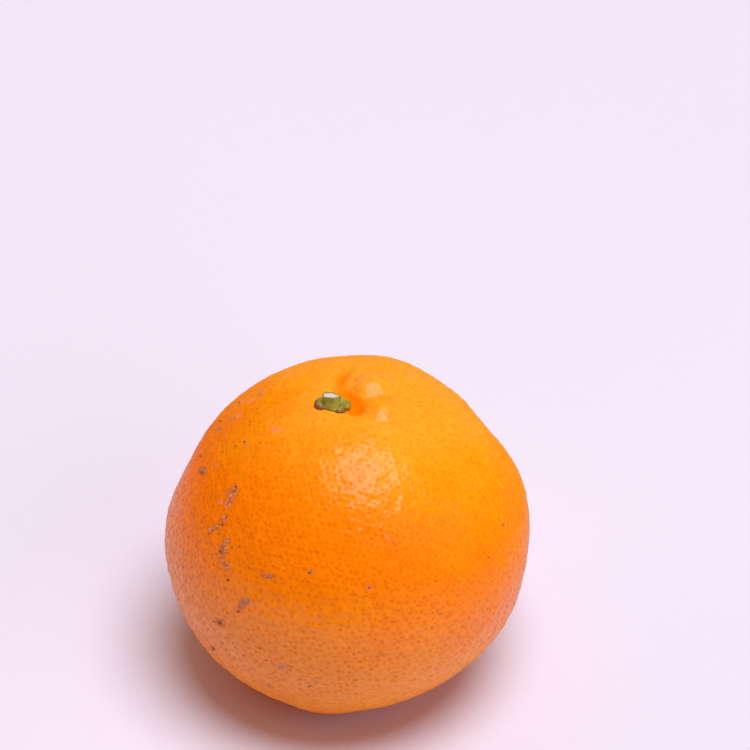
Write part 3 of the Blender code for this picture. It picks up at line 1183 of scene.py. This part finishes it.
    def build(self, surface: RindSurface, stem: StemEnd, viewpoint: Viewpoint) -> bpy.types.Object:
        """Builds the rind.

        Args:
            surface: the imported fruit's surface.
            stem: where the stem is.
            viewpoint: from which the seen blemishes are placed.

        Returns:
            The rind as an object, with what its finish reads stored in the mesh.
        """
        self._lattice()
        directions, sunk, triangles, owners = self._subdivide()
        base = np.array([surface.over(Vector(direction))[:] for direction in directions])
        marks = self._marks(surface, viewpoint, stem)
        tone, size, depth = self._glands()
        pits = -self.pit_depth * (sunk - self.pit_datum)
        pits[: len(depth)] *= depth
        height = self._relief(base, pits, marks, stem)
        points = base + directions * height[:, None]
        points[:, 2] = np.maximum(points[:, 2], 0.0)
        mesh = bpy.data.meshes.new("rind")
        mesh.from_pydata(points.tolist(), [], triangles.tolist())
        mesh.shade_smooth()
        # How deep the folds round the stem lie, for the painted shade in them.
        painted_hollow_shade = self._hollows(directions, base, surface, stem)[triangles]
        store(mesh, "painted_hollow_shade", "CORNER", painted_hollow_shade.ravel())
        offset = (base[triangles] - base[owners][:, None, :]) / size[owners][:, None, None]
        store(mesh, "gland", "CORNER", offset.reshape(-1, 3))
        store(mesh, "gland_tone", "CORNER", np.repeat(tone[owners], 3))
        for layer in Layer:
            own = [each for each in marks if each.stain.layer is layer]
            place, mark = self._nearest_mark(own, base, triangles)
            store(mesh, layer.value + "_place", "CORNER", place.reshape(-1, 3))
            for quality in ("tone", "strength", "grains"):
                values = np.array([getattr(each.stain, quality) for each in own])
                store(mesh, f"{layer.value}_{quality}", "CORNER", np.repeat(values[mark], 3))
        return add_object("rind", mesh)

    def _glands(self) -> tuple[np.ndarray, np.ndarray, np.ndarray]:
        """Draws how the glands differ.

        Returns:
            For each gland the strength of its dot, its radius, and its depth as a share of the
            usual one.
        """
        rng = np.random.default_rng(self.seed + 1)
        glands = len(self.corners)
        faint = rng.random(glands) < self.faint_glands
        tone = np.where(faint, self.faint_tone, rng.uniform(*self.gland_tones, glands))
        size = self.gland_radius * rng.uniform(*self.gland_sizes, glands)
        return tone, size, rng.uniform(*self.pit_depths, glands)

    def _relief(
        self, base: np.ndarray, pits: np.ndarray, marks: list[Mark], stem: StemEnd
    ) -> np.ndarray:
        """Adds up the rind's fine relief.

        Args:
            base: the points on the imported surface.
            pits: height of the glands' pits at each.
            marks: the placed blemishes.
            stem: where the stem is.

        Returns:
            The height of the rind over each point.
        """
        scale, amount = self.ripples
        height = pits + amount * field_noise(base, scale, seed=5.0)
        height *= 1.0 - self.crown_ease * smooth_step(base[:, 2], *self.crown_span)
        height += self._puckers(base, stem)
        for scale, amount in self.swells:
            height += amount * field_noise(base, scale)
        for each in marks:
            distance = np.linalg.norm(each.local(base), axis=1)
            height += self.scar_height * each.stain.relief * smooth_step(distance, *self.scar_edge)
        return height

    def _puckers(self, points: np.ndarray, stem: StemEnd) -> np.ndarray:
        """Height of the fine folds that run out from the stem.

        Args:
            points: of the rind.
            stem: where the stem is.

        Returns:
            A height for each point.
        """
        reach, azimuth = stem.chart(points)
        sway, turns = self.pucker_sway
        folds = np.sin(self.pucker_folds * azimuth + sway * np.sin(turns * azimuth))
        return self.pucker * folds * bell(reach - self.pucker_reach, self.pucker_spread)

    def _hollows(
        self, directions: np.ndarray, base: np.ndarray, surface: RindSurface, stem: StemEnd
    ) -> np.ndarray:
        """Finds where the folds round the stem lie lower than the rind about them.

        Args:
            directions: of the rind's points, from the fruit's middle.
            base: the points.
            surface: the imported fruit's surface.
            stem: where the stem is.

        Returns:
            For each point, 0 where the rind is even or raised, to 1 where it is deep.
        """
        reach, _ = stem.chart(base)
        deep = np.zeros(len(base))
        for number in np.flatnonzero(reach < self.hollow_reach):
            middle = Vector(directions[number])
            side = middle.orthogonal().normalized() * (self.hollow_span / stem.arm)
            around = []
            for look in range(self.hollow_looks):
                turned = Matrix.Rotation(math.tau * look / self.hollow_looks, 3, middle) @ side
                around.append((surface.over(middle + turned) - MIDDLE).length)
            deep[number] = sum(around) / len(around) - (Vector(base[number]) - MIDDLE).length
        return smooth_step(deep, *self.hollow_depths)

    def _marks(self, surface: RindSurface, viewpoint: Viewpoint, stem: StemEnd) -> list[Mark]:
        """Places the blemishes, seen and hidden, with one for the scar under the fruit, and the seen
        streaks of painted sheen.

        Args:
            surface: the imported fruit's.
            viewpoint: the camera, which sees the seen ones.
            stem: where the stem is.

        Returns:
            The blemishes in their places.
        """
        rng = np.random.default_rng(self.seed + 2)
        found = [blemish.mark(surface, viewpoint) for blemish in SEEN_BLEMISHES_AND_SHEEN]
        for stain, size in self.style_scar:
            found.append(HiddenBlemish(stain, -stem.axis, size, size).mark(surface))
        eye = (viewpoint.eye() - MIDDLE).normalized()
        kinds = list(Stain)
        goal = len(found) + self.hidden_blemishes
        while len(found) < goal:
            direction = Vector(rng.normal(size=3)).normalized()
            stain = kinds[rng.integers(len(kinds))]
            length = rng.uniform(*self.hidden_lengths)
            if stain not in (Stain.SPECK, Stain.BROWN):
                length *= self.larger
            width = length * rng.uniform(*self.hidden_widths)
            turn = rng.uniform(0.0, math.pi)
            behind = direction.dot(eye) < self.hidden_from_eye
            if behind and direction.dot(stem.axis) < self.clear_of_stem:
                found.append(HiddenBlemish(stain, direction, length, width, turn).mark(surface))
        return found

    @staticmethod
    def _nearest_mark(marks: list[Mark], base: np.ndarray, triangles: np.ndarray) -> tuple:
        """Gives each small triangle the mark nearest to it.

        Args:
            marks: the placed blemishes of one layer.
            base: points of the rind.
            triangles: points of each small triangle.

        Returns:
            For each corner, where it is from its triangle's mark, and each triangle's mark.
        """
        middles = base[triangles].mean(axis=1)
        nearest = np.full(len(triangles), np.inf)
        chosen = np.zeros(len(triangles), dtype=int)
        for number, mark in enumerate(marks):
            distance = np.linalg.norm(mark.local(middles), axis=1)
            closer = distance < nearest
            nearest[closer] = distance[closer]
            chosen[closer] = number
        place = np.zeros((len(triangles), 3, 3))
        for number, mark in enumerate(marks):
            own = chosen == number
            place[own] = mark.local(base[triangles[own]].reshape(-1, 3)).reshape(-1, 3, 3)
        return place, chosen


def ring_mesh(name: str, rings: list[list[Vector]], poles: bool) -> bpy.types.Object:
    """Joins rings of points into a closed smooth skin.

    Args:
        name: of the object.
        rings: each with the same number of points.
        poles: True closes the first and last ring with a fan, and False joins them to each other.

    Returns:
        The object.
    """
    bm = bmesh.new()
    loops = [[bm.verts.new(point) for point in ring] for ring in rings]
    pairs = list(zip(loops, loops[1:]))
    if not poles:
        pairs.append((loops[-1], loops[0]))
    for low, high in pairs:
        for here in range(len(low)):
            after = (here + 1) % len(low)
            bm.faces.new((low[here], low[after], high[after], high[here]))
    if poles:
        for loop in (loops[0], loops[-1]):
            middle = bm.verts.new(sum((vertex.co for vertex in loop), Vector()) / len(loop))
            for here in range(len(loop)):
                bm.faces.new((loop[here], loop[(here + 1) % len(loop)], middle))
    bmesh.ops.recalc_face_normals(bm, faces=bm.faces)
    mesh = mesh_of(name, bm)
    mesh.shade_smooth()
    return add_object(name, mesh)


def store_rings(piece: bpy.types.Object, name: str, values: list[float], fill: float) -> None:
    """Stores a number for each point of a ring mesh, and fill for its poles."""
    poles = len(piece.data.vertices) - len(values)
    store(piece.data, name, "POINT", np.array(values + [fill] * poles))


@dataclass(frozen=True)
class Sepal:
    """One lobe of the calyx; azimuth, and half its width, in degrees."""

    azimuth: float
    reach: float
    half_width: float
    root: float  # height at the stem
    lift: float  # height of the tip
    arch: float  # how far the middle bulges over the line from root to tip
    age: float  # 0 fresh and green, 1 dry and brown


@dataclass
class Calyx:
    """The calyx: a collar that hugs the stem's foot and runs out into five ragged sepals."""

    sepals: tuple[Sepal, ...] = (
        Sepal(184.0, 3.4 * MM, 42.0, 0.0 * MM, 0.0 * MM, 0.75 * MM, 0.78),
        Sepal(-44.0, 3.0 * MM, 30.0, 0.0 * MM, 0.0 * MM, 0.25 * MM, 0.95),
        Sepal(16.0, 3.75 * MM, 40.0, 1.8 * MM, 1.1 * MM, 0.45 * MM, 0.08),
        Sepal(58.0, 3.3 * MM, 40.0, 1.3 * MM, 0.8 * MM, 0.3 * MM, 0.3),
        Sepal(128.0, 2.3 * MM, 36.0, 0.6 * MM, 0.3 * MM, 0.1 * MM, 0.4),
    )
    inner: float = 1.5 * MM
    rim: float = 1.98 * MM
    collar: float = 1.9 * MM  # height of the collar where it meets the bark
    blade: float = 0.26 * MM
    bluntness: float = 1.6  # of the sepals, seen from above
    fullness: float = 0.7  # the lower, the wider they stay towards their tips
    steepness: float = 0.6  # the lower, the steeper the collar's wall and the sepals' sides
    ragged: float = 0.16 * MM  # how far the edge strays
    ragged_scale: float = 9.0
    crinkle: float = 0.09 * MM
    crinkle_scale: float = 7.0
    wave: float = 0.12  # share by which the collar's height changes, once for each sepal
    edge_sides: Span = (0.25, 0.75)  # how far down the blade its upper and lower side end
    collar_ages: Span = (0.3, 0.15)  # at the stem and at its foot
    root_age: float = 0.4  # at a sepal's root, as a share of its own age
    tip_age: float = 0.35  # added towards its tip
    side_age: float = 0.15  # added towards its sides
    steps_round: int = 240
    steps_up: int = 7  # along the collar
    steps_out: int = 12  # from the collar to the tips

    def _edge(self, azimuth: float) -> tuple[float, Sepal, float]:
        """Reach of the calyx at this azimuth, the sepal that is there, and how near its middle.

        Args:
            azimuth: round the stem.

        Returns:
            The reach, the sepal, and from 0 at its edge to 1 at its middle.
        """
        best, chosen = 0.0, self.sepals[0]
        for sepal in self.sepals:
            offset = abs((math.degrees(azimuth) - sepal.azimuth + 180.0) % 360.0 - 180.0)
            share = max(0.0, 1.0 - (offset / sepal.half_width) ** self.bluntness)
            if share > best:
                best, chosen = share, sepal
        around = Vector((math.cos(azimuth), math.sin(azimuth), 0.0))
        stray = self.ragged * (noise.noise(around * self.ragged_scale) + 0.5)
        reach = self.rim + (chosen.reach - self.rim) * best**self.fullness + stray
        return reach, chosen, best

    def _top(self, azimuth: float, out: float, reach: float, sepal: Sepal, share: float) -> float:
        """Height of the calyx's upper side over the rind.

        Args:
            azimuth: round the stem.
            out: distance from the stem.
            reach: of the calyx at this azimuth.
            sepal: the one that is there.
            share: how near the azimuth is to the sepal's middle, 1 at it.

        Returns:
            The height in metres.
        """
        climb = min(1.0, max(0.0, (self.rim - out) / (self.rim - self.inner)))
        along = min(1.0, max(0.0, (out - self.inner) / (reach - self.inner)))
        wave = 1.0 + self.wave * math.cos(len(self.sepals) * azimuth)
        wall = self.collar * wave * climb**self.steepness
        slope = sepal.root + (sepal.lift - sepal.root) * along
        slope += sepal.arch * math.sin(math.pi * along)
        around = Vector((math.cos(azimuth), math.sin(azimuth), 0.0)) * self.crinkle_scale
        crinkle = self.crinkle * noise.noise(around + Vector((0.0, 0.0, out / MM)))
        return self.blade + max(wall, slope * share**self.steepness) + crinkle * (1.0 - climb)

    def build(self, stem: StemEnd) -> bpy.types.Object:
        """Builds the calyx round the stem, and returns it.

        Args:
            stem: where the stem is.

        Returns:
            The object.
        """
        collar = [step / self.steps_up for step in range(self.steps_up)]
        blade = [1.0 + step / self.steps_out for step in range(self.steps_out + 1)]
        section = [(place, True) for place in collar + blade]
        section += [(place, False) for place in reversed(collar + blade)]
        rings, ages = [], []
        for place, top in section:
            ring = []
            for step in range(self.steps_round):
                azimuth = math.tau * step / self.steps_round
                reach, sepal, share = self._edge(azimuth)
                out = self.inner + (self.rim - self.inner) * min(place, 1.0)
                out += (reach - self.rim) * max(place - 1.0, 0.0)
                height = self._top(azimuth, out, reach, sepal, share)
                if place == 2.0:
                    height -= self.blade * self.edge_sides[0 if top else 1]
                elif not top:
                    height = 0.0 if place < 1.0 else height - self.blade
                ring.append(stem.point(out, azimuth, height))
                ages.append(self._age(place, sepal, share))
            rings.append(ring)
        made = ring_mesh("calyx_sepals", rings, poles=False)
        store_rings(made, "age", ages, 0.5)
        return made

    def _age(self, place: float, sepal: Sepal, share: float) -> float:
        """How brown the calyx is: green at the collar, and older along each sepal to its edge.

        Args:
            place: 0 at the stem, 1 at the collar's foot and 2 at the edge.
            sepal: the one that is there.
            share: how near the place is to the sepal's middle, 1 at it.

        Returns:
            0 for green to about 1 for brown.
        """
        if place <= 1.0:
            stem_side, foot = self.collar_ages
            return stem_side + (foot - stem_side) * place
        along = place - 1.0
        own = sepal.age * (self.root_age + (1.0 - self.root_age) * along)
        return own + self.tip_age * along**3 + self.side_age * (1.0 - share)


@dataclass
class StemStub:
    """The clipped stem: ridged green bark, and the pale wood of its slanting cut."""

    foot_radius: float = 1.55 * MM
    waist_radius: float = 1.58 * MM
    top_radius: float = 1.7 * MM
    wood_radius: float = 1.5 * MM
    wood_sink: float = 0.1 * MM
    wood_lap: float = 0.06 * MM  # how far the wood runs on under the bark
    wood_depth: float = 0.5 * MM
    wood_taper: float = 0.03 * MM  # how much narrower it is at that depth
    height: float = 2.4 * MM
    lip: tuple[Place, ...] = (  # in from the bark's top edge, up from it, and how brown it is there
        (0.02 * MM, 0.0, 0.4),
        (0.07 * MM, 0.03 * MM, 0.9),
        (0.14 * MM, 0.02 * MM, 0.9),
        (0.18 * MM, -0.02 * MM, 0.6),
        (0.2 * MM, -0.12 * MM, 0.5),
        (0.35 * MM, -0.4 * MM, 0.5),
    )
    slope: float = 0.42  # of the cut
    rises_to: float = math.radians(-75.0)
    ridges: int = 5
    ridge: float = 0.1 * MM
    knots: float = 0.06 * MM  # unevenness of the bark
    knot_scales: Span = (3.0, 900.0)  # round the stem, and to the metre up it
    cut_marks: float = 0.03 * MM
    cut_scales: Span = (5.0, 3.0)  # round the stem, and from its middle to the bark
    pith_dip: float = 0.06 * MM
    pith_reach: float = 0.2  # as a share of the wood's radius
    middle: float = 0.02  # radius of the innermost ring, likewise
    steps_round: int = 120
    steps_up: int = 22
    steps_in: int = 12  # from the pith to the bark

    def _place(self, stem: StemEnd, reach: float, azimuth: float, height: float) -> Vector:
        """A point of the stub: the higher it is, the more it follows the slant of the cut."""
        slant = self.slope * reach * math.cos(azimuth - self.rises_to)
        return stem.point(reach, azimuth, height + slant * (height / self.height) ** 2)

    def _azimuths(self) -> list[float]:
        """Directions of the points of each ring."""
        return [math.tau * step / self.steps_round for step in range(self.steps_round)]

    @staticmethod
    def _noise(azimuth: float, along: float, scales: Span) -> float:
        """Smooth noise round the stem and along it, or out from its middle.

        Args:
            azimuth: round the stem.
            along: place the other way.
            scales: of the noise, round and along.

        Returns:
            A number between -1 and 1.
        """
        around, other = scales
        spot = Vector((math.cos(azimuth) * around, math.sin(azimuth) * around, along * other))
        return noise.noise(spot)

    def _wall(self, share: float) -> float:
        """Radius of the bark at a share of its height."""
        radii = (self.foot_radius, self.waist_radius, self.top_radius)
        return float(np.interp(share, (0.0, 0.5, 1.0), radii))

    def bark(self, stem: StemEnd) -> bpy.types.Object:
        """Builds the bark, with its rim turned in over the edge of the cut.

        Args:
            stem: where the stem is.

        Returns:
            The object.
        """
        shares = [step / self.steps_up for step in range(self.steps_up)]
        profile = [(self._wall(share), self.height * share, 0.0) for share in shares]
        profile += [(self.top_radius - inward, self.height + up, rim) for inward, up, rim in self.lip]
        rings, rims = [], []
        for radius, height, rim in profile:
            ring = []
            for azimuth in self._azimuths():
                knot = self.knots * self._noise(azimuth, height, self.knot_scales)
                swell = self.ridge * math.cos(self.ridges * azimuth) + knot
                share = (radius / self.top_radius) ** 3
                ring.append(self._place(stem, radius + swell * share, azimuth, height))
                rims.append(rim)
            rings.append(ring)
        made = ring_mesh("stem_bark", rings, poles=True)
        store_rings(made, "rim", rims, 0.5)
        return made

    def wood(self, stem: StemEnd) -> bpy.types.Object:
        """Builds the wood that the cut shows, with a soft pith in its middle.

        Args:
            stem: where the stem is.

        Returns:
            The object.
        """
        level = self.height - self.wood_sink
        full = self.wood_radius + self.wood_lap
        rings, pith = [], []
        for step in range(self.steps_in + 1):
            share = step / self.steps_in
            height = level - self.pith_dip * bell(share, self.pith_reach)
            radius = max(share, self.middle) * full
            ring = []
            for azimuth in self._azimuths():
                rough = self.cut_marks * self._noise(azimuth, share, self.cut_scales)
                ring.append(self._place(stem, radius, azimuth, height + rough))
                pith.append(share)
            rings.append(ring)
        radius, height = self.wood_radius - self.wood_taper, level - self.wood_depth
        under = [self._place(stem, radius, azimuth, height) for azimuth in self._azimuths()]
        rings.append(under)
        pith += [1.0] * len(under)
        made = ring_mesh("cut_wood", rings, poles=True)
        store_rings(made, "from_pith", pith, 0.0)
        return made


class Outline(Enum):
    """Outlines of a softbox."""

    OBLONG = "RECTANGLE"
    OVAL = "ELLIPSE"


@dataclass(frozen=True)
class Softbox:
    """A soft flat light that looks at the fruit, its long side level, along X."""

    name: str
    outline: Outline
    place: Place
    size: tuple[float, float]
    power: float
    colour: Colour

    def hang(self) -> None:
        """Adds the light to the scene."""
        data = bpy.data.lights.new(self.name, "AREA")
        data.shape = self.outline.value
        data.size, data.size_y = self.size
        data.energy = self.power
        data.color = self.colour
        lamp = add_object(self.name, data)
        lamp.location = self.place
        back = (lamp.location - MIDDLE).normalized()
        up = back.cross(Vector((1.0, 0.0, 0.0))).normalized()
        lamp.rotation_mode = "QUATERNION"
        lamp.rotation_quaternion = Matrix((up.cross(back), up, back)).transposed().to_quaternion()


@dataclass
class Studio:
    """Pale floor, painted dark well in front, and soft light from overhead, in a dim room."""

    floor_half: float = 3.0
    floor_colour: Colour = (0.79, 0.772, 0.935)
    floor_far_painted_shade: Colour = (0.30, 0.28, 0.32)  # painted shade: the floor turns dark well in front of the fruit, for the dim room beyond the table
    floor_fade: Span = (0.12, 0.9)  # where the painted shade begins and is full
    floor_shade: float = 0.98  # of the floor's faint clouds
    floor_cloud_scale: float = 3.0
    floor_cloud: float = 0.5
    floor_roughness: float = 0.8
    room_colour: Colour = (1.0, 0.46, 0.12)
    room_strength: float = 0.08
    lights: tuple[Softbox, ...] = (
        Softbox("overhead", Outline.OVAL, (1.06, -0.82, 6.0), (4.1, 3.4), 340.0, (1.0, 0.98, 1.0)),
        Softbox("ceiling", Outline.OBLONG, (-0.3, 1.2, 2.0), (3.2, 3.2), 12.0, (1.0, 0.98, 1.0)),
        Softbox("front", Outline.OBLONG, (2.6, -1.95, 1.15), (4.4, 3.2), 48.0, (1.0, 0.98, 1.0)),
        Softbox("left", Outline.OBLONG, (-2.5, 0.2, 0.75), (2.5, 1.1), 13.5, (1.0, 0.3, 0.03)),
    )

    def floor(self, effects: Effects) -> None:
        """Adds the floor, which isn't part of the object.

        Args:
            effects: the shared ones.
        """
        bm = bmesh.new()
        bmesh.ops.create_grid(bm, x_segments=1, y_segments=1, size=self.floor_half)
        made = add_object("floor", mesh_of("floor", bm))
        material, wiring = new_material("pale_floor")
        shade = tuple(part * self.floor_shade for part in self.floor_colour)
        near = effects.mottled(wiring, self.floor_colour, shade, self.floor_cloud_scale, self.floor_cloud)
        # Painted shade: the floor darkens well in front of the fruit, for the dim room beyond the table,
        # which the rind reflects.
        far = wiring.step(wiring.along((0.0, -1.0, 0.0)), *self.floor_fade)
        colour = wiring.mix(far, near, self.floor_far_painted_shade)
        Gloss(self.floor_roughness).finish(wiring, {"Base Color": colour})
        made.data.materials.append(material)

    def light(self) -> None:
        """Adds the lights and the room's own glow."""
        for light in self.lights:
            light.hang()
        world = bpy.data.worlds.new("room")
        world.use_nodes = True
        wiring = Wiring(world.node_tree)
        inputs = {"Color": self.room_colour, "Strength": self.room_strength}
        glow = wiring.node("Background", inputs).outputs["Background"]
        wiring.node("OutputWorld", {"Surface": glow})
        bpy.context.scene.world = world

    @staticmethod
    def develop() -> None:
        """Sets how the picture is developed: plainly, with no film look."""
        settings = bpy.context.scene.view_settings
        settings.view_transform = "Standard"
        settings.look = "None"


def dress(piece: bpy.types.Object, material: bpy.types.Material, node: str | None) -> None:
    """Gives a piece its material and its place in the model.

    Args:
        piece: the mesh object.
        material: its finish.
        node: the CAD node that it stands for, or None.
    """
    piece.data.materials.append(material)
    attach(piece, "root")
    if node is not None:
        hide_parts(node)
    LOG.info("%s: %d faces", piece.name, len(piece.data.polygons))


def main() -> None:
    """Builds the mandarin's pieces in order, then the studio."""
    logging.basicConfig(level=logging.INFO, format="%(name)s %(message)s")
    viewpoint = Viewpoint()
    viewpoint.make_camera()
    effects = Effects()
    surface = RindSurface(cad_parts["fruit"])
    stem = StemEnd(surface)
    dress(Rind().build(surface, stem, viewpoint), RindFinish().material(effects), "fruit")
    dress(Calyx().build(stem), SepalFinish().material(effects), "calyx")
    stub = StemStub()
    dress(stub.bark(stem), BarkFinish().material(effects), "stem_stub")
    dress(stub.wood(stem), CutWoodFinish().material(effects), None)
    studio = Studio()
    studio.floor(effects)
    studio.light()
    studio.develop()


if __name__ == "__main__":
    main()
